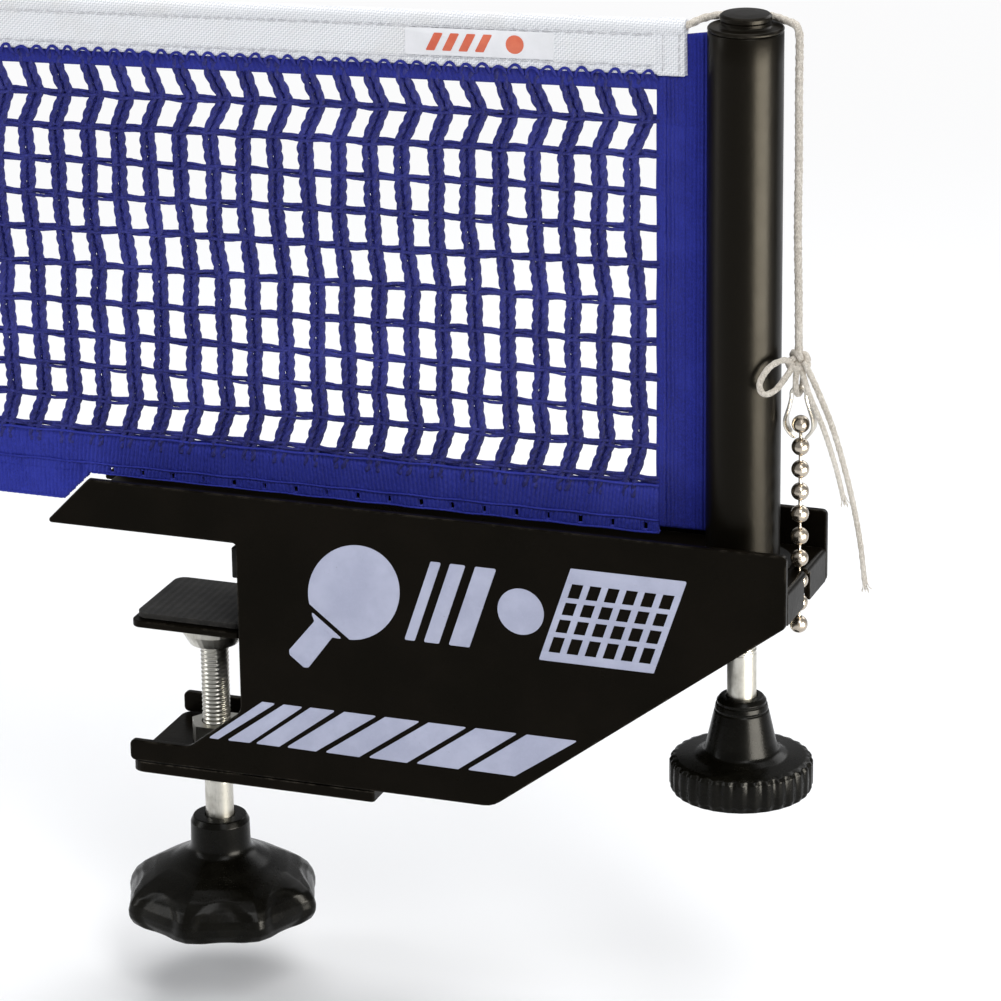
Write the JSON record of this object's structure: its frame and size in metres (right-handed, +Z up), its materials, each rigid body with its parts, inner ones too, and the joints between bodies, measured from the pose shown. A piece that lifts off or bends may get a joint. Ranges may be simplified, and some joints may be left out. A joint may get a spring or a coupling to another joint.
{
  "type": "table tennis net clamp",
  "caption": "Screw-on table tennis net clamp: black steel bracket with a clamping jaw, height-adjustable post, end of the blue net with white tape, tension cord and bead chain.",
  "frame": {"origin": "corner where the table's top face meets its side edge, in the plane of the net", "axes": "+X outwards from the table along the net, +Y along the table's side edge, +Z up"},
  "size_m": [0.2633, 0.0588, 0.2746],
  "materials": {
    "black_enamel": "gloss black baked enamel on sheet steel",
    "post_enamel": "gloss black enamel on steel tube",
    "rubber": "matt black rubber",
    "knob_plastic": "moulded black plastic, lightly worn",
    "zinc_steel": "zinc-plated steel",
    "guide_nylon": "dark grey nylon",
    "nickel_beads": "warm nickel plating",
    "cord_white": "braided off-white cord",
    "tape_white": "woven white tape",
    "net_blue": "blue polyester knit"
  },
  "bodies": {
    "bracket": {"front_side_plate": "black_enamel", "rear_side_plate": "black_enamel", "arm_web_plate": "black_enamel", "throat_plate": "black_enamel", "lower_jaw_plate": "black_enamel", "clamp_nut": "zinc_steel", "under_arm_pad": "rubber", "table_edge_buffer": "rubber", "post_guide_bush": "guide_nylon", "guide_key": "guide_nylon", "adjust_bridge": "black_enamel"},
    "clamp_pad": {"pressure_plate": "zinc_steel", "pressure_pad_rubber": "rubber", "swivel_cup": "zinc_steel"},
    "clamp_handle": {"clamp_screw": "zinc_steel", "clamp_knob": "knob_plastic"},
    "post": {"post_tube": "post_enamel", "post_cap": "knob_plastic", "post_nut": "zinc_steel", "net_hem_rod": "zinc_steel", "net_side_band": "net_blue", "net_panel": "net_blue", "net_top_tape": "tape_white", "net_bottom_hem": "net_blue", "cord_over_post": "cord_white"},
    "height_adjuster": {"adjust_screw": "zinc_steel", "adjust_knob": "knob_plastic", "thrust_collar": "zinc_steel", "retaining_clip": "zinc_steel"},
    "tension_line": {"tension_cord": "cord_white", "line_knot": "cord_white", "knot_loop": "cord_white", "bow_loop": "cord_white", "cord_tail_long": "cord_white", "cord_tail_short": "cord_white"},
    "chain": {"wire_link": "zinc_steel", "bead_chain": "nickel_beads"}
  },
  "joints": [
    {"name": "pad_travel", "type": "slide", "parent": "bracket", "child": "clamp_pad", "axis": [0, 0, 1], "range_m": [-0.02, 0.012]},
    {"name": "clamp_screw_turn", "type": "hinge", "parent": "clamp_pad", "child": "clamp_handle", "pos_m": [-0.012, 0, -0.09], "axis": [0, 0, 1], "range_deg": [-5761, 3457]},
    {"name": "adjust_knob_turn", "type": "hinge", "parent": "bracket", "child": "height_adjuster", "pos_m": [0.1425, 0, -0.03], "axis": [0, 0, 1], "range_deg": [-1441, 1441]},
    {"name": "post_height", "type": "slide", "parent": "bracket", "child": "post", "axis": [0, 0, 1], "range_m": [-0.005, 0.005]},
    {"name": "cord_take_up", "type": "slide", "parent": "post", "child": "tension_line", "axis": [0, 0, 1], "range_m": [-0.0051, 0.0051]},
    {"name": "chain_unhook", "type": "hinge", "parent": "tension_line", "child": "chain", "pos_m": [0.1578, 0, 0.0529], "axis": [0, -1, 0], "range_deg": [0, 60]}
  ],
  "couplings": [
    {"joint": "clamp_screw_turn", "follows": "pad_travel", "rad_per_m": 5026.5},
    {"joint": "adjust_knob_turn", "follows": "post_height", "rad_per_m": -5026.5},
    {"joint": "cord_take_up", "follows": "post_height", "ratio": -1}
  ]
}
